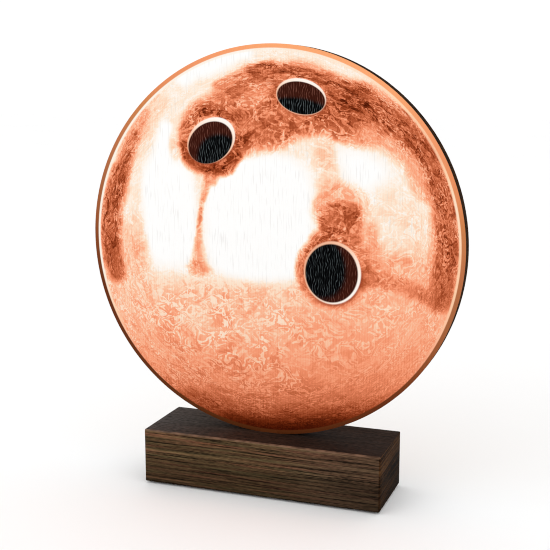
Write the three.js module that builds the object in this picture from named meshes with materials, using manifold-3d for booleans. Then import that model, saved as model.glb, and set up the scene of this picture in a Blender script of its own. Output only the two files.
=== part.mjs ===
// Bowling trophy: a flat printed plywood disc standing on edge on a stained wooden block.
// Two screws come up through the block into the disc; four felt pads carry the block.
// Millimetres, +Z up. Origin: on the table, under the middle of the base.
// X runs along the base, -Y is the printed front.
import * as THREE from "three";
import { mergeVertices } from "three/addons/utils/BufferGeometryUtils.js";
import Module from "manifold-3d";

// ---- driving dimensions (R radius, T thickness, L length, D depth, H height) ----
const DISC_R = 96;
const DISC_SEGMENTS = 192;
const SEAT_CUT = 0.16; // the rim is sanded flat by this much where it stands on the base
const PRINT_T = 0.15; // cured ink: white underbase, colours and varnish
const GLUE_GAP = 0.02; // left open in front of each ply

const BASE_L = 123.4;
const BASE_D = 41;
const BASE_H = 27.7;
const BASE_EASE = 0.6; // eased edges of the block

const PAD_R = 5.5;
const PAD_T = 1;
const PAD_X = 53;
const PAD_Y = 10.5;

const SCREW_X = 9; // each screw's distance left or right of the middle
const SHANK_R = 1.75;
const SCREW_L = 40; // head's seat to tip
const TIP_L = 5;
const HEAD_R = 3.4;
const HEAD_H = 2.4;
const RECESS_W = 1.05; // one wing of the cross recess: width, reach and depth
const RECESS_R = 1.9;
const RECESS_DEPTH = 1.7;
const RECESS_TAPER = 0.45; // reach at the recess floor, as a share of RECESS_R

const WASHER_R = 4.5;
const WASHER_HOLE_R = 2.05;
const WASHER_T = 0.8;
const FIT = 0.02; // gap on either side of the washer

const COUNTERBORE_R = 5;
const COUNTERBORE_DEPTH = 8;
const CLEARANCE_R = 2.1; // hole through the block
const PILOT_R = 2; // room for the thread in the plywood
const PILOT_BELOW = 2; // the pilot cutter starts this far below the base top
const PILOT_ABOVE = 1.5; // and ends this far above the screw tip
const OVERCUT = 1; // how far a cutter runs out past the face it opens

// ---- places -------------------------------------------------------------
const BASE_TOP_Z = PAD_T + BASE_H;
const DISC_Z = BASE_TOP_Z - SEAT_CUT + DISC_R;
const COUNTERBORE_TOP_Z = PAD_T + COUNTERBORE_DEPTH;
const SCREW_SEAT_Z = COUNTERBORE_TOP_Z - WASHER_T - 2 * FIT;
const SCREW_TIP_Z = SCREW_SEAT_Z + SCREW_L;

// ---- materials ----------------------------------------------------------
function material(name, settings) {
  return new THREE.MeshStandardMaterial({ name, ...settings });
}

const PRINT = material("print", { color: 0xe58a63, roughness: 0.45, metalness: 0 });
const FACE_VENEER = material("face_veneer", { color: 0xb98a5e, roughness: 0.65, metalness: 0 });
const INNER_PLY = material("inner_ply", { color: 0x3a2216, roughness: 0.8, metalness: 0 });
const STAINED_BLOCK = material("stained_block", { color: 0x3c2c22, roughness: 0.5, metalness: 0 });
const ZINC_STEEL = material("zinc_steel", { color: 0xb9bbb8, roughness: 0.35, metalness: 1 });
const FELT = material("felt", { color: 0x1b1a19, roughness: 0.95, metalness: 0 });

// The plies from front to back: a board 7.85 mm thick.
const PLIES = [
  { name: "ply_front_face", thickness: 1.5, finish: FACE_VENEER },
  { name: "ply_front_crossband", thickness: 1.6, finish: INNER_PLY },
  { name: "ply_core", thickness: 1.65, finish: INNER_PLY },
  { name: "ply_back_crossband", thickness: 1.6, finish: INNER_PLY },
  { name: "ply_back_face", thickness: 1.5, finish: FACE_VENEER },
];
const BOARD_T = PLIES.reduce((sum, ply) => sum + ply.thickness, 0);
const DISC_FRONT_Y = -(BOARD_T + PRINT_T) / 2; // front of the ink; the disc is centred on y = 0

// ---- solids and meshes --------------------------------------------------
const wasm = await Module();
wasm.setup();

// Manifold needs shared vertices, so seams are welded by position alone.
function toSolid(geometry) {
  const loose = geometry.index ? geometry.toNonIndexed() : geometry.clone();
  loose.deleteAttribute("normal");
  loose.deleteAttribute("uv");
  const welded = mergeVertices(loose, 1e-4);
  return new wasm.Manifold(
    new wasm.Mesh({
      numProp: 3,
      vertProperties: new Float32Array(welded.attributes.position.array),
      triVerts: new Uint32Array(welded.index.array),
    }),
  );
}

function toGeometry(solid) {
  const { numVert, numProp, vertProperties, triVerts } = solid.getMesh();
  const positions = new Float32Array(numVert * 3);
  for (let i = 0; i < numVert; i++) {
    positions.set(vertProperties.subarray(i * numProp, i * numProp + 3), i * 3);
  }
  return new THREE.BufferGeometry()
    .setAttribute("position", new THREE.BufferAttribute(positions, 3))
    .setIndex(new THREE.BufferAttribute(new Uint32Array(triVerts), 1));
}

// The geometry with each cutter taken away in turn.
function cutAway(geometry, cutters) {
  let solid = toSolid(geometry);
  for (const cutter of cutters) solid = solid.subtract(toSolid(cutter));
  return toGeometry(solid);
}

// An upright cylinder between two heights.
function peg(radius, x, y, bottom, top) {
  const geometry = new THREE.CylinderGeometry(radius, radius, top - bottom, 48);
  geometry.rotateX(Math.PI / 2);
  geometry.translate(x, y, (bottom + top) / 2);
  return geometry;
}

const toVectors = (pairs) => pairs.map(([a, b]) => new THREE.Vector2(a, b));

// A closed [x, z] outline, extruded from y = 0 towards -Y.
function extrude(outline, depth) {
  const shape = new THREE.Shape(toVectors(outline));
  shape.closePath();
  const geometry = new THREE.ExtrudeGeometry(shape, { depth, bevelEnabled: false });
  return geometry.rotateX(Math.PI / 2);
}

// A [radius, z] profile turned about Z.
function turned(profile, segments) {
  return new THREE.LatheGeometry(toVectors(profile), segments).rotateX(Math.PI / 2);
}

function add(parent, name, geometry, finish) {
  geometry.computeVertexNormals();
  const mesh = new THREE.Mesh(geometry, finish);
  mesh.name = name;
  parent.add(mesh);
  return mesh;
}

// ---- the disc: the ink and five plies, all cut to one outline -----------
// A layer between two Y values: a circle in X and Z, flat at the bottom.
function discLayer(front, back) {
  const flatHalfAngle = Math.acos((DISC_R - SEAT_CUT) / DISC_R);
  const sweep = 2 * Math.PI - 2 * flatHalfAngle;
  const outline = [];
  for (let i = 0; i <= DISC_SEGMENTS; i++) {
    const angle = -Math.PI / 2 + flatHalfAngle + (sweep * i) / DISC_SEGMENTS;
    outline.push([DISC_R * Math.cos(angle), DISC_R * Math.sin(angle)]);
  }
  return extrude(outline, back - front).translate(0, back, DISC_Z);
}

function buildDisc() {
  const disc = new THREE.Group();
  const boardFront = DISC_FRONT_Y + PRINT_T;
  add(disc, "front_print", discLayer(DISC_FRONT_Y, boardFront), PRINT);

  const pilots = [-SCREW_X, SCREW_X].map((x) =>
    peg(PILOT_R, x, 0, BASE_TOP_Z - PILOT_BELOW, SCREW_TIP_Z + PILOT_ABOVE),
  );
  let plyStart = boardFront;
  for (const { name, thickness, finish } of PLIES) {
    const front = plyStart + GLUE_GAP;
    const back = plyStart + thickness;
    const layer = discLayer(front, back);
    const meetsPilots = front < PILOT_R && back > -PILOT_R;
    add(disc, name, meetsPilots ? cutAway(layer, pilots) : layer, finish);
    plyStart = back;
  }
  return disc;
}

// ---- the base block -----------------------------------------------------
// A box with all its edges eased, drilled from below for the screws.
function baseBlock() {
  const halfL = BASE_L / 2;
  const halfD = BASE_D / 2;
  const x = halfL - BASE_EASE;
  const y = halfD - BASE_EASE;
  // Plan outline, counterclockwise from above: [x, y]
  const outline = [
    [-x, -halfD], [x, -halfD],
    [halfL, -y], [halfL, y],
    [x, halfD], [-x, halfD],
    [-halfL, y], [-halfL, -y],
  ];
  // Rings from bottom to top: [height, how far the outline is drawn in]
  const rings = [
    [0, BASE_EASE],
    [BASE_EASE, 0],
    [BASE_H - BASE_EASE, 0],
    [BASE_H, BASE_EASE],
  ];
  const positions = [];
  for (const [height, inset] of rings) {
    const scaleX = (halfL - inset) / halfL;
    const scaleY = (halfD - inset) / halfD;
    for (const [px, py] of outline) positions.push(px * scaleX, py * scaleY, height + PAD_T);
  }

  const count = outline.length;
  const topRing = (rings.length - 1) * count;
  const triangles = [];
  for (let ring = 0; ring < topRing; ring += count) {
    for (let i = 0; i < count; i++) {
      const lower = ring + i;
      const lowerNext = ring + ((i + 1) % count);
      const upper = lower + count;
      const upperNext = lowerNext + count;
      triangles.push(lower, lowerNext, upperNext, lower, upperNext, upper);
    }
  }
  for (let i = 1; i < count - 1; i++) {
    triangles.push(0, i + 1, i); // bottom
    triangles.push(topRing, topRing + i, topRing + i + 1); // top
  }
  const block = new THREE.BufferGeometry()
    .setAttribute("position", new THREE.Float32BufferAttribute(positions, 3))
    .setIndex(triangles);

  const holes = [-SCREW_X, SCREW_X].flatMap((holeX) => [
    peg(COUNTERBORE_R, holeX, 0, PAD_T - OVERCUT, COUNTERBORE_TOP_Z),
    peg(CLEARANCE_R, holeX, 0, PAD_T, BASE_TOP_Z + OVERCUT),
  ]);
  return cutAway(block, holes);
}

// ---- screws and washers -------------------------------------------------
// A pan head screw pointing up, its head's seat at z = 0.
function screw() {
  const profile = [
    [0, -HEAD_H],
    [HEAD_R * 0.55, -HEAD_H],
    [HEAD_R * 0.85, -HEAD_H * 0.86],
    [HEAD_R, -HEAD_H * 0.5],
    [HEAD_R, 0],
    [SHANK_R, 0],
    [SHANK_R, SCREW_L - TIP_L],
    [SHANK_R * 0.55, SCREW_L - TIP_L * 0.4],
    [0, SCREW_L],
  ];
  const wings = [0, Math.PI / 2].map((turn) => recessWing().rotateZ(turn + Math.PI / 4));
  return cutAway(turned(profile, 32), wings);
}

// Cutter for one bar of the cross recess, narrowing up into the head.
function recessWing() {
  const openingZ = -HEAD_H;
  const floorZ = -HEAD_H + RECESS_DEPTH;
  const floorR = RECESS_R * RECESS_TAPER;
  const outline = [
    [-RECESS_R, openingZ - OVERCUT],
    [RECESS_R, openingZ - OVERCUT],
    [RECESS_R, openingZ],
    [floorR, floorZ],
    [-floorR, floorZ],
    [-RECESS_R, openingZ],
  ];
  return extrude(outline, RECESS_W).translate(0, RECESS_W / 2, 0);
}

// A flat washer standing on z = 0.
function washer() {
  const profile = [
    [WASHER_HOLE_R, 0],
    [WASHER_R, 0],
    [WASHER_R, WASHER_T],
    [WASHER_HOLE_R, WASHER_T],
    [WASHER_HOLE_R, 0],
  ];
  return turned(profile, 48);
}

// ---- assembly -----------------------------------------------------------
const trophy = new THREE.Group();
trophy.add(buildDisc());
add(trophy, "base_block", baseBlock(), STAINED_BLOCK);

for (const [side, x] of [["left", -SCREW_X], ["right", SCREW_X]]) {
  add(trophy, `screw_${side}`, screw(), ZINC_STEEL).position.set(x, 0, SCREW_SEAT_Z);
  add(trophy, `washer_${side}`, washer(), ZINC_STEEL).position.set(x, 0, SCREW_SEAT_Z + FIT);
}

for (const [end, y] of [["front", -PAD_Y], ["back", PAD_Y]]) {
  for (const [side, x] of [["left", -PAD_X], ["right", PAD_X]]) {
    add(trophy, `felt_pad_${end}_${side}`, peg(PAD_R, x, y, 0, PAD_T), FELT);
  }
}

export default trophy;
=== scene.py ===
"""Bowling award: a printed plywood disc standing on a stained wooden block.

Metres, +Z up, floor at z = 0. The disc stands in the XZ plane with its print facing the front (-Y);
+X is its right. Two screws come up through the block into the disc; felt pads lie under the block.
"""
import math
import random

import bmesh
import bpy
from mathutils import Matrix, Vector, noise


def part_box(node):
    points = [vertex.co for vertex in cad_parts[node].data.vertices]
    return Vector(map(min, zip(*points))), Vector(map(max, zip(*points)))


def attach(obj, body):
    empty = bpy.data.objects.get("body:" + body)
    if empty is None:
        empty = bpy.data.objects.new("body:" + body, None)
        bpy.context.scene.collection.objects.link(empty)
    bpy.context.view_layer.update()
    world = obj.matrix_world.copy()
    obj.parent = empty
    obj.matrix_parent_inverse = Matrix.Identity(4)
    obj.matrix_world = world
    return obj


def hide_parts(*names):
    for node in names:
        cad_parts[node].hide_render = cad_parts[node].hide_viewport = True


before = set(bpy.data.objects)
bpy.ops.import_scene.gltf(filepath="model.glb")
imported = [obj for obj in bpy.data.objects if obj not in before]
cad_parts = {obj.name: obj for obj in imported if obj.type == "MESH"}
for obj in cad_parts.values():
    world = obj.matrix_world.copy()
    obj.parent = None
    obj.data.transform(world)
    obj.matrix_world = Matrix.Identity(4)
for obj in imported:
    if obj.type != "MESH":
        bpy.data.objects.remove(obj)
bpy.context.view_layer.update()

# ------------------------------------------------------------------ driving sizes, from the frame
MM = 0.001
PRINT_LOW, PRINT_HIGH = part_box("front_print")
RADIUS = (PRINT_HIGH.x - PRINT_LOW.x) / 2
CENTRE_Z = PRINT_HIGH.z - RADIUS
BASE_LOW, BASE_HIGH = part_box("base_block")
BASE_TOP = BASE_HIGH.z
PLIES = ["ply_front_face", "ply_front_crossband", "ply_core", "ply_back_crossband", "ply_back_face"]
SIDES = ("left", "right")
SCREW_X = [sum(corner.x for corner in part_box("screw_" + side)) / 2 for side in SIDES]
SCREW_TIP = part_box("screw_left")[1].z
FULL_TURN = 2 * math.pi


# ------------------------------------------------------------------ shader kit
def screen(color):
    """8-bit screen colour to linear, with alpha."""
    linear = []
    for value in color:
        value = value / 255
        linear.append(value / 12.92 if value <= 0.04045 else ((value + 0.055) / 1.055) ** 2.4)
    return tuple(linear) + (1.0,)


class Kit:
    """Writes the shader nodes of one material; most methods add one node and return its output."""

    def __init__(self, name, rough, spec, metal=0.0):
        self.material = bpy.data.materials.new(name)
        self.material.use_nodes = True
        self.tree = self.material.node_tree
        self.tree.nodes.clear()
        output = self.node("ShaderNodeOutputMaterial")
        self.bsdf = self.node("ShaderNodeBsdfPrincipled")
        self.put(output.inputs[0], self.bsdf.outputs[0])
        self.bsdf.inputs["Roughness"].default_value = rough
        self.bsdf.inputs["Metallic"].default_value = metal
        self.bsdf.inputs["Specular IOR Level"].default_value = spec

    def node(self, kind, inputs=(), **props):
        """Node with its first inputs filled; None leaves an input alone."""
        made = self.tree.nodes.new(kind)
        for key, value in props.items():
            setattr(made, key, value)
        for index, value in enumerate(inputs):
            if value is not None:
                self.put(made.inputs[index], value)
        return made

    def put(self, socket, value):
        if isinstance(value, bpy.types.NodeSocket):
            self.tree.links.new(value, socket)
        else:
            socket.default_value = value

    def math(self, op, *values):
        return self.node("ShaderNodeMath", values, operation=op).outputs[0]

    def vmath(self, op, *values):
        made = self.node("ShaderNodeVectorMath", values, operation=op)
        return made.outputs[1 if op in ("LENGTH", "DOT_PRODUCT") else 0]

    def scale(self, vector, factor):
        return self.vmath("SCALE", vector, None, None, factor)

    def add(self, a, b):
        return self.math("ADD", a, b)

    def sub(self, a, b):
        return self.math("SUBTRACT", a, b)

    def mul(self, a, b):
        return self.math("MULTIPLY", a, b)

    def madd(self, value, factor, offset):
        return self.math("MULTIPLY_ADD", value, factor, offset)

    def max(self, a, b):
        return self.math("MAXIMUM", a, b)

    def min(self, a, b):
        return self.math("MINIMUM", a, b)

    def smooth(self, value, start, end, low=0.0, high=1.0):
        """Eases from low to high as value goes from start to end."""
        return self.node("ShaderNodeMapRange", (value, start, end, low, high),
                         interpolation_type="SMOOTHSTEP", clamp=False).outputs[0]

    def mix(self, a, b, factor):
        inputs = (factor, None, a, b)
        return self.node("ShaderNodeMix", inputs, data_type="FLOAT", clamp_factor=True).outputs[0]

    def mix_color(self, a, b, factor):
        inputs = (factor,) + (None,) * 5 + (a, b)
        return self.node("ShaderNodeMix", inputs, data_type="RGBA", clamp_factor=True).outputs[2]

    def ramp(self, value, stops):
        """Linear colour ramp; stops are (position, linear RGBA or grey level)."""
        made = self.node("ShaderNodeValToRGB", (value,))
        elements = made.color_ramp.elements
        elements.remove(elements[-1])
        for index, (position, color) in enumerate(stops):
            stop = elements[0] if index == 0 else elements.new(position)
            stop.position = position
            stop.color = color if isinstance(color, tuple) else (color, color, color, 1)
        return made.outputs[0]

    def paint(self, value, stops):
        """Ramp of (position, 8-bit screen colour) stops."""
        return self.ramp(value, [(position, screen(color)) for position, color in stops])

    def curve(self, value, stops):
        """Number read off a ramp of (position, number) stops."""
        return self.split(self.ramp(value, stops))[0]

    def split(self, color):
        return self.node("ShaderNodeSeparateColor", (color,)).outputs

    def xyz(self, vector):
        return self.node("ShaderNodeSeparateXYZ", (vector,)).outputs

    def vec(self, x, y, z):
        return self.node("ShaderNodeCombineXYZ", (x, y, z)).outputs[0]

    def noise(self, point, scale=1.0, detail=2, rough=0.5, distort=0.0, out="Fac"):
        made = self.node("ShaderNodeTexNoise")
        for key, value in (("Vector", point), ("Scale", scale), ("Detail", detail),
                           ("Roughness", rough), ("Distortion", distort)):
            self.put(made.inputs[key], value)
        return made.outputs[out]

    def stretched(self, point, per_metre, detail=1, rough=0.5):
        """Noise with its own frequency along each axis."""
        mapping = self.node("ShaderNodeMapping", (point, None, None, per_metre))
        return self.noise(mapping.outputs[0], detail=detail, rough=rough)

    def shake(self, point, amount, scale, detail, rough):
        """Point moved about by noise, at most half of amount each way."""
        offset = self.vec(*self.split(self.noise(point, scale, detail, rough, out="Color")))
        offset = self.vmath("SUBTRACT", offset, (0.5, 0.5, 0.5))
        return self.vmath("MULTIPLY_ADD", offset, amount, point)

    def bump(self, height, dist, strength):
        made = self.node("ShaderNodeBump")
        for key, value in (("Strength", strength), ("Distance", dist), ("Height", height)):
            self.put(made.inputs[key], value)
        return made.outputs[0]

    def position(self):
        return self.node("ShaderNodeTexCoord").outputs["Object"]

    def finish(self, color, rough=None, normal=None):
        for key, value in (("Base Color", color), ("Roughness", rough), ("Normal", normal)):
            if value is not None:
                self.put(self.bsdf.inputs[key], value)
        return self.material


class Drawing(Kit):
    """A Kit that draws soft shapes at self.point, whose x and y run over the drawing.

    Each shape is 1 inside and fades to 0 between inner and outer, both in multiples of its size.
    """

    def local(self, shape):
        """Point in the frame of shape = (x, y, half-width, half-height, turn in degrees)."""
        x, y, width, height, turn = shape
        if turn == 0:
            factor = (1 / width, 1 / height, 0)
            return self.vmath("MULTIPLY_ADD", self.point, factor, (-x / width, -y / height, 0))
        cos, sin = math.cos(math.radians(turn)), math.sin(math.radians(turn))
        away = self.vmath("SUBTRACT", self.point, (x, y, 0))
        return self.vec(self.vmath("DOT_PRODUCT", away, (cos / width, sin / width, 0)),
                        self.vmath("DOT_PRODUCT", away, (-sin / height, cos / height, 0)), 0.0)

    def oval(self, shape, inner, outer):
        return self.smooth(self.vmath("LENGTH", self.local(shape)), outer, inner)

    def slab(self, shape, inner, outer):
        """Rounded rectangle."""
        local = self.local(shape)
        squared = self.vmath("MULTIPLY", local, local)
        return self.smooth(self.vmath("LENGTH", squared), outer**2, inner**2)

    def stroke(self, points, inner, outer):
        """Line through (x, y, half-width) points."""
        nearest = None
        for (ax, ay, a_width), (bx, by, b_width) in zip(points[:-1], points[1:]):
            dx, dy = bx - ax, by - ay
            per_length = 1 / (dx * dx + dy * dy)
            away = self.vmath("SUBTRACT", self.point, (ax, ay, 0))
            along = self.vmath("DOT_PRODUCT", away, (dx * per_length, dy * per_length, 0))
            along = self.node("ShaderNodeClamp", (along,)).outputs[0]
            foot = self.scale((dx, dy, 0), along)
            dist = self.vmath("LENGTH", self.vmath("SUBTRACT", away, foot))
            if a_width != b_width:
                dist = self.math("DIVIDE", dist, self.madd(along, b_width - a_width, a_width))
            else:
                dist = self.mul(dist, 1 / a_width)
            nearest = dist if nearest is None else self.min(nearest, dist)
        return self.smooth(nearest, outer, inner)


# ------------------------------------------------------------------ the printed ball
# Drawing units: x right, y up from the disc's centre, 1 = the disc's radius. Tone: 0 dark, 1 white.

# (height, tone): light under the horizon, falling to dark at the bottom
HEIGHT_TONES = [
    (-0.98, 0.11), (-0.94, 0.20), (-0.905, 0.32), (-0.865, 0.45), (-0.81, 0.55), (-0.74, 0.615),
    (-0.60, 0.69), (-0.45, 0.76), (-0.28, 0.80), (-0.20, 0.89), (-0.14, 0.93), (0.3, 0.93),
]
# Painted in this order: (tone, kind, shape, inner, outer); shapes as in Drawing.local and .stroke
BALL_SHAPES = [
    # lower half and left side
    (0.70, "oval", (0.32, -0.46, 0.16, 0.10, 0), 0.2, 1.5),
    (0.80, "oval", (-0.38, -0.41, 0.22, 0.09, -12), 0.2, 1.5),
    (0.71, "oval", (-0.66, -0.60, 0.08, 0.07, -40), 0.2, 1.5),
    (0.37, "oval", (-0.36, -0.865, 0.13, 0.045, -18), 0.2, 1.6),
    (0.78, "oval", (-0.76, -0.07, 0.12, 0.18, 0), 0.2, 1.4),
    (0.86, "stroke", ((-0.82, 0.36, 0.06), (-0.63, 0.71, 0.07)), 0.1, 1.6),
    # white windows: left, middle and right
    (1.0, "slab", (-0.555, 0.14, 0.16, 0.31, 3), 0.72, 1.12),
    (1.0, "stroke", ((-0.62, 0.25, 0.09), (-0.57, 0.58, 0.045)), 0.3, 1.4),
    (1.0, "slab", (-0.06, 0.13, 0.305, 0.335, 0), 0.82, 1.1),
    (1.0, "oval", (0.50, 0.38, 0.19, 0.10, -35), 0.3, 1.5),
    (0.905, "oval", (0.64, 0.20, 0.13, 0.15, 0), 0.2, 1.4),
    (1.0, "stroke", ((-0.46, 0.85, 0.05), (-0.25, 0.93, 0.045), (-0.12, 0.96, 0.03)), 0.4, 1.8),
    (0.87, "oval", (-0.515, 0.49, 0.035, 0.06, 0), 0.2, 1.6),
    # gap between the left and middle windows
    (0.70, "stroke", ((-0.325, 0.36, 0.026), (-0.37, 0.20, 0.012), (-0.39, 0.04, 0.012),
                      (-0.395, -0.12, 0.038)), 0.2, 1.8),
    (0.64, "oval", (-0.312, 0.335, 0.03, 0.04, 0), 0.3, 1.5),
    (0.72, "oval", (-0.395, -0.15, 0.065, 0.035, 0), 0.2, 1.5),
    # patches beside the right window
    (0.87, "oval", (0.76, 0.08, 0.07, 0.11, 0), 0.2, 1.5),
    (0.86, "stroke", ((0.29, 0.50, 0.045), (0.30, 0.38, 0.045)), 0.3, 1.8),
    (0.77, "oval", (0.32, 0.30, 0.06, 0.05, 0), 0.3, 1.6),
    (0.66, "oval", (0.29, 0.21, 0.045, 0.05, 0), 0.3, 1.6),
    (0.73, "oval", (0.38, 0.20, 0.13, 0.11, 0), 0.6, 1.4),
    # the dark upper area
    (0.66, "stroke", ((0.37, 0.57, 0.035), (0.45, 0.56, 0.045), (0.55, 0.55, 0.045)), 0.2, 1.9),
    (0.76, "stroke", ((0.60, 0.54, 0.045), (0.72, 0.43, 0.035), (0.79, 0.28, 0.03)), 0.2, 1.9),
    (0.52, "stroke", ((-0.33, 0.56, 0.15), (-0.05, 0.68, 0.20), (0.15, 0.73, 0.175),
                      (0.42, 0.69, 0.12)), 0.78, 1.25),
    (0.50, "oval", (-0.315, 0.51, 0.175, 0.17, 0), 0.85, 1.15),
    (0.63, "oval", (-0.08, 0.735, 0.13, 0.08, 10), 0.3, 1.4),
    (0.62, "oval", (0.0, 0.65, 0.065, 0.035, 0), 0.2, 1.5),
    (0.62, "stroke", ((-0.27, 0.79, 0.03), (-0.14, 0.84, 0.03)), 0.2, 1.7),
    (0.37, "oval", (-0.17, 0.65, 0.07, 0.04, 0), 0.3, 1.6),
    (0.40, "oval", (0.03, 0.76, 0.033, 0.06, 0), 0.2, 1.6),
    (0.48, "oval", (-0.065, 0.52, 0.04, 0.025, 0), 0.2, 1.6),
    (0.46, "oval", (0.035, 0.55, 0.03, 0.04, 0), 0.2, 1.6),
    (0.48, "oval", (0.37, 0.565, 0.055, 0.035, 0), 0.2, 1.6),
    (0.40, "stroke", ((-0.10, 0.872, 0.027), (0.0, 0.888, 0.028), (0.13, 0.866, 0.022),
                      (0.34, 0.80, 0.038), (0.50, 0.725, 0.04)), 0.3, 1.5),
    # round the finger holes
    (0.33, "stroke", ((-0.33, 0.38, 0.035), (-0.22, 0.395, 0.035), (-0.17, 0.44, 0.025)), 0.3, 1.6),
    (0.39, "oval", (-0.35, 0.66, 0.06, 0.035, 0), 0.2, 1.6),
    (0.46, "stroke", ((-0.465, 0.51, 0.018), (-0.455, 0.45, 0.018)), 0.3, 1.8),
    (0.42, "oval", (-0.135, 0.525, 0.05, 0.03, 0), 0.3, 1.8),
    (0.70, "stroke", ((0.53, 0.10, 0.035), (0.55, -0.12, 0.045)), 0.2, 1.8),
    (0.51, "slab", (0.377, 0.08, 0.113, 0.147, 0), 0.75, 1.15),
    (0.54, "oval", (0.333, -0.124, 0.189, 0.186, 0), 0.84, 1.10),
    (0.50, "oval", (0.255, 0.035, 0.043, 0.045, 0), 0.3, 1.4),
    (0.58, "oval", (0.50, -0.02, 0.03, 0.04, 0), 0.2, 1.6),
    (0.46, "oval", (0.36, 0.15, 0.05, 0.05, 0), 0.2, 1.5),
    (0.41, "oval", (0.50, -0.14, 0.04, 0.055, 0), 0.2, 1.6),
    # shadow under the horizon on the right
    (0.79, "oval", (0.64, -0.295, 0.09, 0.03, 0), 0.2, 1.6),
    (0.58, "stroke", ((0.54, -0.15, 0.035), (0.70, -0.17, 0.032), (0.86, -0.24, 0.04)), 0.2, 1.8),
    (0.52, "oval", (0.80, -0.22, 0.07, 0.025, -20), 0.2, 1.6),
    # dark arcs along the rim
    (0.43, "stroke", ((0.36, 0.70, 0.10), (0.50, 0.70, 0.085), (0.672, 0.61, 0.07),
                      (0.812, 0.45, 0.057), (0.862, 0.33, 0.054), (0.898, 0.20, 0.062),
                      (0.914, 0.0, 0.064), (0.892, -0.23, 0.060)), 0.4, 1.6),
    (0.32, "stroke", ((0.345, 0.665, 0.03), (0.375, 0.705, 0.04), (0.49, 0.705, 0.03)), 0.3, 1.8),
    (0.70, "stroke", ((-0.69, 0.65, 0.035), (-0.79, 0.48, 0.05)), 0.2, 1.8),
    (0.52, "stroke", ((-0.745, 0.54, 0.022), (-0.795, 0.44, 0.038), (-0.835, 0.35, 0.045)),
     0.3, 1.8),
    (0.42, "stroke", ((-0.83, 0.36, 0.04), (-0.855, 0.28, 0.052), (-0.90, 0.14, 0.055),
                      (-0.91, 0.0, 0.055), (-0.90, -0.12, 0.055), (-0.875, -0.195, 0.05)),
     0.4, 1.7),
    (0.35, "stroke", ((-0.91, 0.05, 0.02), (-0.90, -0.14, 0.02)), 0.3, 1.8),
]
# Finger holes: (direction in which the bevel is palest, bevel, wall, floor, streak strength)
HOLES = [
    ((0.28, 0.66), (-0.315, 0.519, 0.1409, 0.1101, 30.7),
     (-0.3195, 0.5085, 0.1292, 0.1000, 29.8), (-0.268, 0.438, 0.13, 0.117, 0), 0.75),
    ((0.35, 0.70), (0.1675, 0.741, 0.132, 0.088, -12.9),
     (0.1672, 0.7353, 0.1263, 0.0776, -12.4), (0.135, 0.652, 0.20, 0.088, -4), 0.95),
    ((0.60, -0.50), (0.336, -0.127, 0.1500, 0.1608, 0),
     (0.3318, -0.1300, 0.1375, 0.1485, 0), (0.270, -0.095, 0.138, 0.175, 18), 0.62),
]
# (tone, ink colour)
INK_COLORS = [
    (0.00, (40, 6, 0)), (0.12, (79, 21, 3)), (0.16, (94, 30, 7)), (0.21, (114, 41, 13)),
    (0.26, (131, 52, 21)), (0.31, (148, 63, 31)), (0.35, (163, 74, 40)), (0.40, (177, 85, 50)),
    (0.45, (190, 97, 60)), (0.49, (204, 109, 71)), (0.54, (217, 120, 82)), (0.59, (230, 132, 93)),
    (0.635, (241, 145, 105)), (0.68, (248, 158, 119)), (0.73, (250, 172, 135)),
    (0.78, (250, 187, 152)), (0.82, (251, 202, 169)), (0.87, (252, 216, 188)),
    (0.92, (252, 231, 209)), (0.965, (253, 247, 240)), (1.00, (254, 254, 253)),
]
# (fraction of a turn from +x, (lightness, strength, unused, alpha)) of the pale line inside the ring
RING_LINE = [
    (0.0, (0.86, 0.9, 0, 1)), (0.04, (0.89, 1, 0, 1)), (0.085, (0.80, 0.8, 0, 1)),
    (0.125, (0.84, 0.9, 0, 1)), (0.18, (0.90, 0.7, 0, 1)), (0.25, (0.96, 0.6, 0, 1)),
    (0.36, (0.97, 1, 0, 1)), (0.53, (0.97, 1, 0, 1)), (0.57, (0.84, 0.8, 0, 1)),
    (0.62, (0.7, 0, 0, 1)), (0.88, (0.60, 0, 0, 1)), (0.92, (0.74, 0.8, 0, 1)),
    (0.96, (0.84, 0.9, 0, 1)),
]
LINE_COLORS = [
    (0.55, (225, 128, 88)), (0.75, (250, 182, 146)), (0.85, (254, 214, 176)),
    (0.97, (251, 242, 228)),
]
# (position from lower left to upper right, colour) of the ring
RING_COLORS = [
    (0.10, (98, 50, 22)), (0.28, (103, 49, 24)), (0.325, (114, 58, 30)), (0.375, (133, 70, 37)),
    (0.42, (152, 86, 50)), (0.50, (168, 102, 64)), (0.60, (190, 115, 74)), (0.675, (206, 130, 78)),
    (0.72, (226, 140, 92)), (0.80, (241, 153, 106)), (0.875, (250, 168, 114)),
]
BEVEL_COLORS = [
    (0.08, (236, 172, 140)), (0.28, (246, 190, 158)), (0.50, (251, 208, 180)),
    (0.75, (255, 238, 224)), (0.90, (255, 250, 244)),
]


def ball_tone(ink):
    """Tone of the drawn ball over the disc's face."""
    x, y, _ = ink.xyz(ink.point)
    drop = ink.madd(ink.max(x, 0.0), -0.15, y)  # the bands sink towards the right
    stops = [(height * 0.5 + 0.5, tone) for height, tone in HEIGHT_TONES]
    tone = ink.curve(ink.madd(drop, 0.5, 0.5), stops)
    right_side = ink.mul(ink.smooth(x, 0.1, 0.45), ink.smooth(y, 0.14, -0.12))
    tone = ink.mix(tone, 0.73, ink.mul(right_side, ink.smooth(y, -0.5, -0.3)))
    for level, kind, shape, inner, outer in BALL_SHAPES:
        tone = ink.mix(tone, level, getattr(ink, kind)(shape, inner, outer))
    return tone


def veins(ink, point, rings, start, end, low, high, **texture):
    """Contour lines of a noise: rings is how many waves it is folded into."""
    wave = ink.math("SINE", ink.mul(ink.noise(point, **texture), FULL_TURN * rings))
    return ink.smooth(wave, start, end, low, high)


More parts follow.
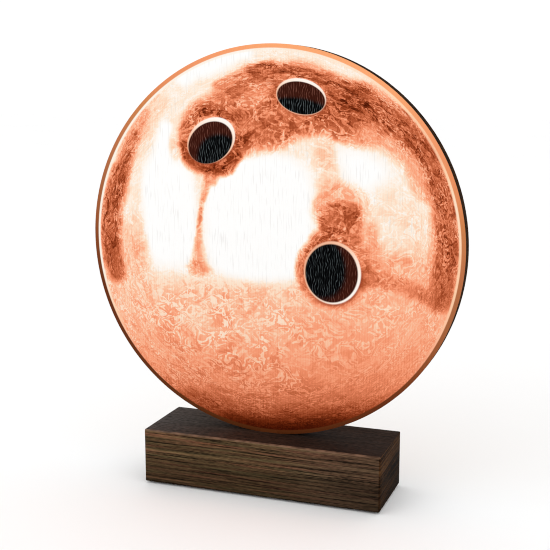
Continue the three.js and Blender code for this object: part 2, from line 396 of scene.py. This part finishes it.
def add_patina(ink, disc, height, tone):
    """Patches, clustered veins and speckle, fading out in the white windows.

    Returns the new tone and the speckle.
    """
    # towards the rim the pattern is squeezed
    squeeze = ink.madd(ink.smooth(ink.vmath("LENGTH", disc), 0.72, 1.08), 0.70, 1.0)
    bent = ink.scale(ink.vmath("MULTIPLY", disc, (1.0, 1.2, 1.0)), squeeze)
    bent = ink.shake(bent, (0.09, 0.09, 0), scale=6, detail=2, rough=0.5)
    ragged = ink.shake(bent, (0.030, 0.030, 0), scale=24, detail=3, rough=0.6)
    upper = ink.smooth(height, -0.30, 0.0)

    # each pattern times its strength, which differs between the lower and the upper half
    patch = veins(ink, ragged, 2.2, -0.12, 0.20, low=-1.0, high=1.0,
                  scale=7, detail=2, rough=0.5, distort=0.8)
    patch = ink.mul(patch, ink.smooth(height, -0.30, 0.0, low=0.028, high=0.054))
    swirl = veins(ink, bent, 5.5, 0.0, 0.6, low=-0.7, high=1.3,
                  scale=9, detail=3, rough=0.55, distort=1.2)
    swirl = ink.mul(swirl, ink.madd(upper, 0.070, 0.004))
    curl = veins(ink, bent, 5.2, 0.05, 0.55, low=-0.65, high=1.35,
                 scale=16, detail=2, rough=0.5, distort=0.6)
    curl = ink.mul(curl, ink.madd(upper, -0.046, 0.060))
    speckle = veins(ink, bent, 3.5, -0.2, 0.6, low=-1.2, high=0.8,
                    scale=24, detail=2, rough=0.5, distort=1.0)
    speckle = ink.mul(speckle, ink.madd(upper, 0.020, 0.020))
    cluster = ink.noise(bent, scale=4.5, detail=3, rough=0.6)
    cluster = ink.smooth(cluster, 0.40, 0.58, low=0.50, high=1.30)
    detail = ink.add(ink.madd(ink.add(swirl, curl), cluster, patch), speckle)

    # stronger in an oval at the lower left, weaker at the lower right, and by tone
    strong = ink.oval((-0.25, -0.38, 0.42, 0.20, -12), 0.2, 1.4)
    calm = ink.oval((0.5, -0.50, 0.5, 0.40, 0), 0.3, 1.3)
    force = ink.add(ink.mul(strong, 0.30), ink.madd(calm, -0.35, 1.0))
    amount = ink.mul(ink.smooth(tone, 1.0, 0.84), ink.smooth(tone, 0.05, 0.35, low=0.35))
    by_tone = ink.smooth(tone, 0.45, 0.86, low=0.30, high=-0.58)
    amount = ink.mul(amount, ink.madd(upper, by_tone, 1.0))
    ceiling = ink.max(tone, ink.smooth(height, -0.24, -0.12, low=0.895))
    return ink.min(ink.madd(detail, ink.mul(amount, force), tone), ceiling), speckle


def upright_waves(ink, x, spacing, sway, phase):
    """Sine waves across x, spacing metres apart, pushed aside by sway times phase."""
    return ink.math("SINE", ink.madd(x, FULL_TURN / spacing, ink.mul(sway, phase)))


def draw_holes(ink, disc, place, x, color):
    """Finger holes: pale bevel, brown wall, black bottom, all with fine upright streaks."""
    ink.point = disc
    sway = ink.stretched(place, (240, 1, 210))
    hair = ink.smooth(upright_waves(ink, x, spacing=0.00115, sway=sway, phase=17.0), 0.35, 1.0)
    broken = ink.stretched(place, (1 / 0.0010, 1, 1 / 0.0034))
    streak = ink.mul(hair, ink.smooth(broken, 0.40, 0.64, low=0.08))
    for facing, rim, well, floor, haze in HOLES:
        in_rim = ink.oval(rim, 0.965, 1.02)
        in_well = ink.oval(well, 0.975, 1.03)
        in_floor = ink.oval(floor, 0.84, 1.10)
        rim_x, rim_y, width, height, _ = rim
        away = ink.vmath("SUBTRACT", disc, (rim_x, rim_y, 0))
        # a thin shadow under the lower right of the bevel
        under = ink.vmath("DOT_PRODUCT", away, (0.5 / width, -0.9 / height, 0))
        shadow = ink.mul(ink.smooth(under, 0.1, 0.9), 0.65)
        shadow = ink.mul(ink.oval(rim, 1.02, 1.11), shadow)
        color = ink.mix_color(color, screen((150, 62, 34)), shadow)
        lit = ink.vmath("DOT_PRODUCT", away, (facing[0] / width, facing[1] / height, 0))
        bevel = ink.paint(ink.madd(lit, 0.5, 0.5), BEVEL_COLORS)
        color = ink.mix_color(color, bevel, in_rim)
        wall_streak = ink.mul(streak, haze * 0.75)
        wall = ink.mix_color(screen((56, 20, 11)), screen((134, 84, 70)), wall_streak)
        bottom = ink.mix_color(screen((1, 1, 2)), screen((92, 100, 102)), ink.mul(streak, haze))
        color = ink.mix_color(color, ink.mix_color(wall, bottom, in_floor), in_well)
    return color


def draw_ring(ink, disc, across, height, grain, color):
    """Edge of the print: a pale line, then a plain copper-orange band."""
    from_centre = ink.vmath("LENGTH", disc)
    angle = ink.math("ARCTAN2", height, across)
    turn = ink.math("FRACT", ink.mul(angle, 1 / FULL_TURN))
    lightness, strength, _ = ink.split(ink.ramp(turn, RING_LINE))
    on_line = ink.mul(ink.smooth(from_centre, 0.963, 0.971), strength)
    color = ink.mix_color(color, ink.paint(lightness, LINE_COLORS), on_line)
    tilt = ink.madd(across, 0.25, ink.mul(height, 0.75))
    tilt = ink.madd(ink.sub(grain, 0.5), 0.10, tilt)
    band = ink.paint(ink.madd(tilt, 0.5, 0.5), RING_COLORS)
    return ink.mix_color(color, band, ink.smooth(from_centre, 0.9765, 0.9815))


def print_material():
    ink = Drawing("print_ink", rough=0.5, spec=0.015)
    place = ink.position()
    x, _, z = ink.xyz(place)
    across = ink.mul(x, 1 / RADIUS)
    height = ink.madd(z, 1 / RADIUS, -CENTRE_Z / RADIUS)
    disc = ink.vec(across, height, 0.0)

    # the drawing's edges wander a little
    ink.point = ink.shake(disc, (0.036, 0.036, 0), scale=9, detail=3, rough=0.6)
    tone, speckle = add_patina(ink, disc, height, ball_tone(ink))

    # upright wood grain showing through: thin dark lines a little over a millimetre apart
    grain = ink.stretched(place, (1 / 0.00080, 1, 1 / 0.016))
    sway = ink.stretched(place, (150, 1, 32))
    comb = upright_waves(ink, x, spacing=0.0013, sway=sway, phase=9.0)
    grain_line = ink.mul(ink.smooth(comb, 0.2, 1.0, low=0.45, high=-1.0),
                         ink.smooth(grain, 0.38, 0.60, low=0.25))
    strength = ink.mul(ink.smooth(tone, 1.0, 0.80, low=0.004, high=0.030),
                       ink.smooth(tone, 0.1, 0.5, low=0.5))
    tone = ink.madd(grain_line, strength, tone)
    color = ink.paint(tone, INK_COLORS)

    # short grey dashes in the lightest parts
    dash = ink.smooth(ink.stretched(place, (1 / 0.00052, 1, 1 / 0.011)), 0.58, 0.70)
    dash = ink.mul(dash, ink.smooth(tone, 0.72, 1.0, high=0.31))
    color = ink.mix_color(color, screen((206, 200, 196)), dash)

    color = draw_holes(ink, disc, place, x, color)
    color = draw_ring(ink, disc, across, height, grain, color)
    relief = ink.madd(grain_line, 0.6, ink.mul(speckle, 0.12))
    normal = ink.bump(relief, dist=0.00003, strength=0.5)
    rough = ink.madd(grain, 0.25, 0.36)
    return ink.finish(ink.scale(color, 0.925), rough, normal)


# ------------------------------------------------------------------ other materials
def char_material():
    """Laser-cut plywood edge: charred brown-black, fine striations across the sheet."""
    kit = Kit("charred_ply_edge", rough=0.9, spec=0.02)
    place = kit.position()
    x, y, z = kit.xyz(place)
    angle = kit.math("ARCTAN2", kit.sub(z, CENTRE_Z), x)
    around = kit.mul(angle, 96.0)  # roughly millimetres along the rim
    striae = kit.noise(kit.vec(kit.mul(around, 1.4), kit.mul(y, 60.0), 0.0), detail=3, rough=0.6)
    blot = kit.noise(place, scale=160, detail=4, rough=0.6)
    color = kit.paint(kit.madd(striae, 0.6, kit.mul(blot, 0.4)), [
        (0.30, (12, 6, 2)), (0.45, (30, 17, 6)), (0.56, (52, 31, 12)), (0.72, (86, 54, 26))])
    relief = kit.madd(striae, 1.0, kit.mul(blot, 0.4))
    normal = kit.bump(relief, dist=0.00008, strength=0.6)
    return kit.finish(color, kit.madd(blot, 0.2, 0.75), normal)


def veneer_material():
    """Face veneer: pale, vertical grain, smoke-browned near the cut."""
    kit = Kit("back_veneer", rough=0.6, spec=0.2)
    place = kit.position()
    x, _, z = kit.xyz(place)
    wander = kit.stretched(place, (18, 1, 4), detail=2)
    swayed = kit.madd(wander, 0.010, x)
    rings = kit.noise(kit.vec(kit.mul(swayed, 130.0), 0.0, kit.mul(z, 3.2)), detail=3, rough=0.55)
    fibre = kit.stretched(place, (1400, 1, 34), detail=3, rough=0.6)
    tint = kit.noise(place, scale=14)
    color = kit.paint(kit.madd(rings, 0.55, kit.madd(fibre, 0.28, kit.mul(tint, 0.17))), [
        (0.30, (150, 105, 66)), (0.45, (186, 139, 94)),
        (0.55, (203, 160, 114)), (0.70, (222, 184, 140))])
    pore = kit.smooth(kit.stretched(place, (2600, 1, 150), detail=2), 0.64, 0.74)
    color = kit.mix_color(color, screen((112, 74, 44)), kit.mul(pore, 0.55))
    from_centre = kit.vmath("LENGTH", kit.vec(x, 0.0, kit.sub(z, CENTRE_Z)))
    ragged = kit.madd(kit.noise(place, scale=90, detail=3, rough=0.6), 0.004, from_centre)
    smoke = kit.smooth(ragged, RADIUS - 0.0045, RADIUS + 0.0022)
    color = kit.mix_color(color, screen((74, 44, 24)), kit.mul(smoke, 0.9))
    relief = kit.madd(fibre, 0.7, kit.mul(pore, -0.8))
    normal = kit.bump(relief, dist=0.00006, strength=0.5)
    return kit.finish(color, kit.madd(fibre, 0.2, 0.48), normal)


# (height up the block, brightness) of its sides
SIDE_BRIGHTNESS = [
    (0.0, 0.36), (0.05, 0.44), (0.09, 0.56), (0.12, 0.44), (0.19, 0.46), (0.31, 0.48), (0.42, 0.50),
    (0.47, 0.46), (0.53, 0.92), (0.60, 0.94), (0.66, 0.72), (0.78, 0.78), (0.86, 0.86), (0.97, 0.98),
]
SIDE_COLORS = [
    (0.32, (80, 68, 46)), (0.46, (88, 69, 47)), (0.58, (92, 67, 47)), (0.68, (98, 64, 47)),
    (0.78, (122, 84, 56)),
]
# (position from left to right, colour) of the top; the pale grey at the left is a painted sheen
TOP_COLORS_WITH_SHEEN = [
    (0.18, (72, 65, 62)), (0.30, (60, 52, 47)), (0.42, (56, 40, 32)), (0.60, (44, 31, 25)),
    (0.95, (44, 32, 26)),
]


def base_material():
    """Dark stained block: level streaks on the sides, fine lengthwise grain on top."""
    kit = Kit("stained_block", rough=0.7, spec=0.015)
    place = kit.position()
    x, y, z = kit.xyz(place)
    wave = kit.stretched(place, (8, 25, 20), detail=2)
    level = kit.madd(wave, 0.0024, z)

    def streaks(per_x, per_y, per_z, start, end, detail, offset):
        point = kit.vec(kit.madd(x, per_x, offset), kit.mul(y, per_y), kit.mul(level, per_z))
        grain = kit.noise(point, detail=detail, rough=0.55)
        return kit.smooth(grain, start, end, low=-1.0)

    broad = streaks(5, 12, 400, 0.36, 0.64, detail=2, offset=0.0)
    streak = streaks(15, 45, 950, 0.38, 0.62, detail=2, offset=3.0)
    hair = streaks(42, 1200, 2000, 0.36, 0.64, detail=1, offset=7.0)
    dash = streaks(330, 1500, 2300, 0.36, 0.66, detail=1, offset=11.0)
    end = kit.smooth(x, BASE_HIGH.x - 0.0008, BASE_HIGH.x - 0.0003)  # the right end face
    right = kit.smooth(x, 0.0, 0.045)
    tone = kit.madd(hair, 0.32, kit.mul(dash, 0.26))
    tone = kit.madd(broad, kit.mix(0.22, 0.62, end), kit.madd(streak, 0.40, tone))
    tone = kit.max(kit.mul(tone, kit.madd(right, 0.15, 1.0)), -0.85)

    # sides: lighter in the upper half; a painted sheen makes them lighter at the left and darker to
    # the right, and painted shade darkens the end face
    lift = kit.madd(wave, 0.0016, kit.sub(z, BASE_LOW.z + 0.0008))
    side = kit.curve(kit.mul(lift, 1 / (BASE_TOP - BASE_LOW.z)), SIDE_BRIGHTNESS)
    # painted sheen: brightness falls from the left towards the right
    side = kit.mul(side, kit.smooth(x, -0.01, 0.06, low=1.0, high=0.69))
    # painted shade on the right end face, darker towards its back
    painted_end_shade = kit.smooth(y, 0.02, -0.02, low=0.40, high=0.66)
    side = kit.mul(side, kit.mix(1.0, painted_end_shade, end))
    hue = kit.noise(kit.vec(kit.mul(x, 20.0), kit.mul(y, 40.0), kit.mul(level, 620.0)))
    tint = kit.paint(hue, SIDE_COLORS)
    tint = kit.mix_color(tint, screen((95, 73, 58)), kit.mul(right, 0.55))
    tint = kit.mix_color(tint, screen((90, 56, 26)), kit.mul(end, 0.75))

    # top: grey-black, with a painted sheen making it a touch paler and greyer at the left
    on_top = kit.smooth(z, BASE_TOP - 0.0007, BASE_TOP - 0.0003)
    top = kit.paint(kit.madd(x, 5.0, 0.5), TOP_COLORS_WITH_SHEEN)
    top_grain = kit.noise(kit.vec(kit.mul(x, 60.0), kit.mul(y, 1500.0), 0.0), rough=0.55)
    top_dash = kit.noise(kit.vec(kit.mul(x, 420.0), kit.mul(y, 1900.0), 0.0), detail=1)
    top_tone = kit.madd(kit.smooth(top_grain, 0.36, 0.64, low=-1.0), 0.34,
                        kit.mul(kit.smooth(top_dash, 0.36, 0.66, low=-1.0), 0.36))

    value = kit.mul(kit.mix(side, 1.0, on_top), kit.add(kit.mix(tone, top_tone, on_top), 1.0))
    color = kit.scale(kit.mix_color(tint, top, on_top), value)
    # the stain is worn to a thin paler line along the front top edge, and a painted highlight, where
    # the eased edge catches the light, lightens it further
    worn_and_highlit_edge = kit.mul(kit.smooth(z, BASE_TOP - 0.0011, BASE_TOP - 0.0005),
                   kit.smooth(y, BASE_LOW.y + 0.0010, BASE_LOW.y + 0.0004))
    broken = kit.noise(kit.vec(kit.mul(x, 110.0), 0.0, 0.0), rough=0.6)
    worn_and_highlit_edge = kit.mul(worn_and_highlit_edge, kit.smooth(broken, 0.38, 0.62, low=0.20, high=0.75))
    color = kit.mix_color(color, screen((132, 100, 80)), worn_and_highlit_edge)
    relief = kit.madd(streak, 0.4, kit.madd(hair, 0.4, kit.mul(dash, 0.4)))
    normal = kit.bump(relief, dist=0.00008, strength=0.5)
    return kit.finish(color, kit.madd(hair, 0.06, 0.68), normal)


def steel_material():
    kit = Kit("zinc_plated", rough=0.35, spec=0.5, metal=1.0)
    place = kit.position()
    blot = kit.noise(place, scale=900, detail=4, rough=0.6)
    fine = kit.noise(place, scale=5200)
    color = kit.paint(blot, [(0.3, (150, 150, 143)), (0.5, (186, 187, 183)), (0.7, (206, 205, 196))])
    normal = kit.bump(fine, dist=0.00002, strength=0.4)
    return kit.finish(color, kit.madd(blot, 0.35, 0.2), normal)


def felt_material():
    kit = Kit("black_felt", rough=0.95, spec=0.1)
    place = kit.position()
    tangled = kit.shake(place, (0.002, 0.002, 0.002), scale=900, detail=2, rough=0.5)
    fibre = kit.noise(tangled, scale=3800, detail=3, rough=0.7, distort=1.0)
    clump = kit.noise(place, scale=500, detail=3, rough=0.6)
    color = kit.paint(kit.madd(fibre, 0.7, kit.mul(clump, 0.3)), [
        (0.3, (12, 11, 11)), (0.55, (34, 32, 31)), (0.75, (70, 66, 63))])
    kit.bsdf.inputs["Sheen Weight"].default_value = 0.3
    kit.bsdf.inputs["Sheen Roughness"].default_value = 0.6
    return kit.finish(color, normal=kit.bump(fibre, dist=0.0002, strength=0.8))


# ------------------------------------------------------------------ mesh helpers
def link_object(name, data):
    made = bpy.data.objects.new(name, data)
    bpy.context.scene.collection.objects.link(made)
    return made


def solid(name, verts, faces):
    """Linked object with its normals facing outward."""
    mesh = bpy.data.meshes.new(name)
    mesh.from_pydata(verts, [], faces)
    mesh.validate()
    bm = bmesh.new()
    bm.from_mesh(mesh)
    bmesh.ops.recalc_face_normals(bm, faces=bm.faces)
    bm.to_mesh(mesh)
    bm.free()
    return link_object(name, mesh)


def shade(part, crease):
    """Smooth shading, with edges steeper than crease degrees kept sharp."""
    mesh = part.data
    mesh.polygons.foreach_set("use_smooth", [True] * len(mesh.polygons))
    bm = bmesh.new()
    bm.from_mesh(mesh)
    for edge in bm.edges:
        if len(edge.link_faces) == 2 and edge.calc_face_angle(0) > math.radians(crease):
            edge.smooth = False
    bm.to_mesh(mesh)
    bm.free()


def new_part(name, geometry, material, crease=40):
    part = solid(name, *geometry)
    part.data.materials.append(material)
    shade(part, crease)
    return part


def lathe(profile, segments, place, wobble=None):
    """Solid of revolution as (verts, faces).

    profile is (radius, height) from axis to axis, or a closed loop; place maps (radius, angle,
    height) to a point; wobble gives a change of radius from (profile index, angle).
    """
    verts, faces, rows = [], [], []
    for index, (radius, height) in enumerate(profile):
        if radius <= 0:
            rows.append([len(verts)])
            verts.append(place(0, 0, height))
            continue
        rows.append(list(range(len(verts), len(verts) + segments)))
        for step in range(segments):
            angle = FULL_TURN * step / segments
            change = wobble(index, angle) if wobble else 0
            verts.append(place(radius + change, angle, height))
    if profile[0] == profile[-1]:
        rows[-1] = rows[0]
    for lower, upper in zip(rows[:-1], rows[1:]):
        for step in range(segments):
            after = (step + 1) % segments
            if len(lower) == 1:
                faces.append((lower[0], upper[step], upper[after]))
            elif len(upper) == 1:
                faces.append((lower[step], lower[after], upper[0]))
            else:
                faces.append((lower[step], lower[after], upper[after], upper[step]))
    return verts, faces


def upright(x, turn=0.0):
    """Place function for a vertical axis at (x, 0)."""
    return lambda radius, angle, height: (
        x + radius * math.cos(angle + turn), radius * math.sin(angle + turn), height)


def cutter(profile, x):
    # turned a little, so that no corner falls on a grid line of the piece it cuts
    return solid("cutter", *lathe(profile, 48, upright(x, turn=0.05)))


def cut(part, cutters):
    """Exact boolean difference, applied."""
    for tool in cutters:
        modifier = part.modifiers.new("cut", "BOOLEAN")
        modifier.operation = "DIFFERENCE"
        modifier.solver = "EXACT"
        modifier.object = tool
    bpy.context.view_layer.update()
    depsgraph = bpy.context.evaluated_depsgraph_get()
    mesh = bpy.data.meshes.new_from_object(part.evaluated_get(depsgraph))
    bm = bmesh.new()
    bm.from_mesh(mesh)
    bmesh.ops.remove_doubles(bm, verts=bm.verts, dist=2e-6)
    bmesh.ops.dissolve_degenerate(bm, edges=bm.edges, dist=2e-6)
    bm.to_mesh(mesh)
    bm.free()
    old = part.data
    part.modifiers.clear()
    part.data = mesh
    mesh.name = part.name
    bpy.data.meshes.remove(old)
    for tool in cutters:
        bpy.data.objects.remove(tool)


parts = []


def hand_over(part, cad_name):
    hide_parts(cad_name)
    parts.append(part)


# ------------------------------------------------------------------ disc
DISC_SEGMENTS = 900


def place_disc(radius, angle, y):
    """The disc is cut off level where it meets the block."""
    z = max(CENTRE_Z + radius * math.sin(angle), BASE_TOP)
    return (radius * math.cos(angle), y, z)


def print_film():
    front, back = PRINT_LOW.y, PRINT_HIGH.y
    ease = 0.05 * MM
    profile = [
        (0, front), (RADIUS * 0.5, front), (RADIUS - 2.2 * MM, front), (RADIUS - ease, front),
        (RADIUS - ease * 0.3, front + ease * 0.3), (RADIUS, front + ease), (RADIUS, back), (0, back),
    ]
    film = new_part("printed_face", lathe(profile, DISC_SEGMENTS, place_disc), PRINT)
    hand_over(film, "front_print")


def striation(seed):
    """Tiny dents along the rim, the same through one ply."""
    depth, count = 0.05 * MM, 2400
    rng = random.Random(seed)
    dents = [rng.random() for _ in range(count)]

    def wobble(index, angle):
        if not 3 <= index <= 7:  # only the rim's rows
            return 0
        along = angle / FULL_TURN * count
        blend = along - int(along)
        first = int(along) % count
        return -depth * (dents[first] * (1 - blend) + dents[(first + 1) % count] * blend)

    return wobble


def ply(index, name):
    """One ply with its own cut rim; the crossbands sit back, leaving seam lines."""
    low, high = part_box(name)
    front, back = low.y, high.y
    ease = 0.10 * MM
    rim = RADIUS - (0.05 * MM if "crossband" in name else 0.0)
    inner = RADIUS - 6 * MM
    profile = [
        (0, front), (inner, front), (rim - ease, front), (rim - ease * 0.3, front + ease * 0.35),
        (rim, front + ease), (rim, (front + back) / 2), (rim, back - ease),
        (rim - ease * 0.3, back - ease * 0.35), (rim - ease, back), (inner, back), (0, back),
    ]
    geometry = lathe(profile, DISC_SEGMENTS, place_disc, striation(11 + index))
    part = new_part(name + "_cut", geometry, CHAR, crease=60)
    hole = 0.002  # radius of the screw holes
    if front < hole and back > -hole:
        start, end = BASE_TOP - 0.002, SCREW_TIP + 0.0015
        drill = [(0, start), (hole, start), (hole, end), (0, end)]
        cut(part, [cutter(drill, x) for x in SCREW_X])
    is_back = name == PLIES[-1]
    if is_back or name == PLIES[0]:
        part.data.materials.append(VENEER)
        for face in part.data.polygons:
            if abs(face.normal.y) > 0.9 and (face.normal.y > 0) == is_back:
                face.material_index = 1
    hand_over(part, name)


# ------------------------------------------------------------------ block
def base_block():
    """Block with eased, slightly uneven edges and two counterbored screw holes."""
    size = tuple(BASE_HIGH[axis] - BASE_LOW[axis] for axis in range(3))
    middle = tuple((BASE_HIGH[axis] + BASE_LOW[axis]) / 2 for axis in range(3))
    bm = bmesh.new()
    bmesh.ops.create_cube(bm, size=1)
    bmesh.ops.scale(bm, vec=size, verts=bm.verts)
    bmesh.ops.translate(bm, vec=middle, verts=bm.verts)
    for axis, divisions in enumerate((24, 8, 6)):
        normal = [0, 0, 0]
        normal[axis] = 1
        start, end = BASE_LOW[axis], BASE_HIGH[axis]
        for step in range(1, divisions):
            point = [0, 0, 0]
            point[axis] = start + (end - start) * step / divisions
            bmesh.ops.bisect_plane(bm, geom=bm.verts[:] + bm.edges[:] + bm.faces[:],
                                   plane_co=point, plane_no=normal)
    sharp = [edge for edge in bm.edges
             if len(edge.link_faces) == 2 and edge.calc_face_angle(0) > 1.0]
    bmesh.ops.bevel(bm, geom=sharp, offset=0.55 * MM, segments=4, profile=0.5, affect="EDGES")
    # only the eased edges are worn, never the faces or the seat
    pivot = (0, 0, middle[2])
    for vert in bm.verts:
        spot = vert.co
        if not any(abs(spot[axis] - BASE_LOW[axis]) < 1e-6
                   or abs(spot[axis] - BASE_HIGH[axis]) < 1e-6 for axis in range(3)):
            wear = abs(noise.noise(spot * 180) * 0.06 * MM)
            vert.co -= Vector([wear if spot[axis] > pivot[axis] else -wear for axis in range(3)])
    mesh = bpy.data.meshes.new("wooden_block")
    bm.to_mesh(mesh)
    bm.free()
    block = link_object("wooden_block", mesh)
    mesh.materials.append(BASE)

    bottom, shoulder, top = BASE_LOW.z - 0.001, BASE_LOW.z + 0.008, BASE_TOP + 0.001
    head_room, clearance = 0.005, 0.0021  # radii
    bore = [(0, bottom), (head_room, bottom), (head_room, shoulder), (clearance, shoulder),
            (clearance, top), (0, top)]
    cut(block, [cutter(bore, x) for x in SCREW_X])
    shade(block, crease=35)
    hand_over(block, "base_block")


# ------------------------------------------------------------------ screws and washers
def recess_cutter(x, bottom, turn):
    """One bar of the cross recess, narrower at its deep end."""
    # (along the bar, up from the head's bottom), mm
    outline = [(-1.9, -1), (1.9, -1), (1.9, 0), (0.85, 1.7), (-0.85, 1.7), (-1.9, 0)]
    half_width = 0.5 * MM
    cos, sin = math.cos(math.radians(turn)), math.sin(math.radians(turn))
    verts = []
    for sign in (-1, 1):
        for along, up in outline:
            aside = sign * half_width * (1 if up <= 0 else 0.7)
            verts.append((x + along * MM * cos - aside * sin,
                          along * MM * sin + aside * cos, bottom + up * MM))
    count = len(outline)
    faces = [tuple(range(count)), tuple(range(2 * count - 1, count - 1, -1))]
    for step in range(count):
        after = (step + 1) % count
        faces.append((step, after, count + after, count + step))
    return solid("cutter", verts, faces)


def screw(side, x):
    """Domed head at the bottom with a cross recess, rolled thread, gimlet point."""
    low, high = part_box("screw_" + side)
    bottom, tip = low.z, high.z
    seat = bottom + 2.4 * MM
    thread_start = seat + 6 * MM
    thread_end = tip - 0.05 * MM
    head = (high.x - low.x) / 2
    core, crest, pitch = 1.15 * MM, 1.72 * MM, 1.6 * MM
    ease = 0.15 * MM
    dome = seat - bottom - 0.7 * MM
    profile = [(0, bottom)]
    for step in range(1, 9):
        angle = step / 8 * math.pi / 2
        profile.append((head * math.sin(angle), bottom + dome * (1 - math.cos(angle))))
    profile += [(head, seat - ease), (head - ease, seat), (core * 1.25, seat),
                (core * 1.22, thread_start)]
    z = thread_start
    while z < thread_end:
        z += pitch / 10
        profile.append((core, min(z, thread_end)))
    profile.append((0, tip))

    def place(radius, angle, height):
        if height > thread_start and radius > 0:
            phase = ((height - seat) / pitch - angle / FULL_TURN) % 1.0
            ridge = max(0.0, 1 - abs(phase - 0.5) / 0.28)
            fade = min(1.0, (height - seat - 6 * MM) / (1.5 * MM))
            taper = min(1.0, max(0.04, (tip - height) / (5 * MM)))
            radius = (core + (crest - core) * ridge * fade) * (taper ** 0.7)
        return (x + radius * math.cos(angle), radius * math.sin(angle), height)

    part = new_part("pan_head_screw_" + side, lathe(profile, 40, place), STEEL, crease=45)
    cut(part, [recess_cutter(x, bottom, turn) for turn in (45, 135)])
    shade(part, crease=40)
    hand_over(part, "screw_" + side)


def washer(side, x):
    low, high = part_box("washer_" + side)
    bottom, top = low.z, high.z
    outer, inner = (high.x - low.x) / 2, 2.05 * MM
    ease = 0.12 * MM
    profile = [
        (inner + ease, bottom), (outer - ease, bottom), (outer - ease * 0.3, bottom + ease * 0.3),
        (outer, bottom + ease), (outer, top - ease), (outer - ease * 0.3, top - ease * 0.3),
        (outer - ease, top), (inner + ease, top), (inner, top - ease), (inner, bottom + ease),
        (inner + ease, bottom),
    ]
    part = new_part("flat_washer_" + side, lathe(profile, 72, upright(x)), STEEL)
    hand_over(part, "washer_" + side)


# ------------------------------------------------------------------ felt pads
def felt_pad(where):
    """Felt disc, a little fuzzy at the rim and underneath."""
    low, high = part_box("felt_pad_" + where)
    x, y, pad = (low.x + high.x) / 2, (low.y + high.y) / 2, (high.x - low.x) / 2
    bottom, top = low.z, high.z
    profile = [(0, bottom)] + [(pad * step / 7, bottom) for step in range(1, 7)]
    profile += [
        (pad * 0.975, bottom + 0.02 * MM), (pad, bottom + 0.15 * MM),
        (pad * 0.992, (bottom + top) / 2), (pad, top - 0.1 * MM), (pad * 0.985, top),
        (pad * 0.5, top), (0, top),
    ]

    def place(radius, angle, height):
        spot = Vector((x + radius * math.cos(angle), y + radius * math.sin(angle), height))
        fuzz = noise.noise(spot * 2500) * 0.5 + noise.noise(spot * 900) * 0.5
        if radius > pad * 0.9:
            radius -= abs(fuzz) * 0.12 * MM
        if height < bottom + 0.1 * MM and radius < pad * 0.96:
            height += abs(fuzz) * 0.03 * MM
        return (x + radius * math.cos(angle), y + radius * math.sin(angle), height)

    part = new_part("felt_disc_" + where, lathe(profile, 120, place), FELT, crease=60)
    hand_over(part, "felt_pad_" + where)


# ------------------------------------------------------------------ build
PRINT = print_material()
CHAR = char_material()
VENEER = veneer_material()
BASE = base_material()
STEEL = steel_material()
FELT = felt_material()

print_film()
for number, ply_name in enumerate(PLIES):
    ply(number, ply_name)
base_block()
for side, screw_x in zip(SIDES, SCREW_X):
    screw(side, screw_x)
    washer(side, screw_x)
for where in ("front_left", "front_right", "back_left", "back_right"):
    felt_pad(where)
for part in parts:
    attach(part, "root")


# ------------------------------------------------------------------ studio
def add_floor():
    kit = Kit("pale_floor", rough=0.9, spec=0.05)
    cloud = kit.noise(kit.position(), scale=3)
    material = kit.finish(kit.ramp(cloud, [(0.3, 0.94), (0.7, 0.96)]))
    mesh = bpy.data.meshes.new("floor")
    mesh.from_pydata([(-6, -6, 0), (6, -6, 0), (6, 6, 0), (-6, 6, 0)], [], [(0, 1, 2, 3)])
    mesh.materials.append(material)
    link_object("floor", mesh)


def add_lights():
    """Even white surroundings and a soft key light from the front left."""
    world = bpy.data.worlds.new("studio")
    bpy.context.scene.world = world
    world.use_nodes = True
    color, strength = world.node_tree.nodes["Background"].inputs[:2]
    color.default_value = (1, 1, 1, 1)
    strength.default_value = 1.06

    light = bpy.data.lights.new("key", "AREA")
    light.shape = "DISK"
    light.size = 1.2
    light.energy = 3
    key = link_object("key", light)
    key.location = (-0.9, -1.5, 1.1)
    toward = Vector((0, 0, 0.1)) - Vector((-0.9, -1.5, 1.1))
    key.rotation_euler = toward.to_track_quat("-Z", "Y").to_euler()


def add_camera():
    """Camera in front, a little to the right and above, looking at the aim point."""
    azimuth, elevation = 0.34747, 0.17769  # radians
    distance = 0.52224
    aim = Vector((0.00162, 0, 0.1088))
    right = Vector((math.cos(azimuth), math.sin(azimuth), 0))
    back = Vector((math.sin(azimuth) * math.cos(elevation),
                   -math.cos(azimuth) * math.cos(elevation), math.sin(elevation)))
    rotation = Matrix((right, back.cross(right), back)).transposed().to_4x4()
    lens = bpy.data.cameras.new("camera")
    lens.sensor_width = 36
    lens.lens = 69.233
    lens.clip_start = 0.01
    camera = bpy.data.objects.new("camera", lens)
    camera.matrix_world = Matrix.Translation(aim + back * distance) @ rotation
    bpy.context.scene.collection.objects.link(camera)
    bpy.context.scene.camera = camera


add_floor()
add_lights()
add_camera()
bpy.context.scene.view_settings.view_transform = "Standard"
bpy.context.scene.cycles.filter_width = 1.1

bpy.context.view_layer.update()
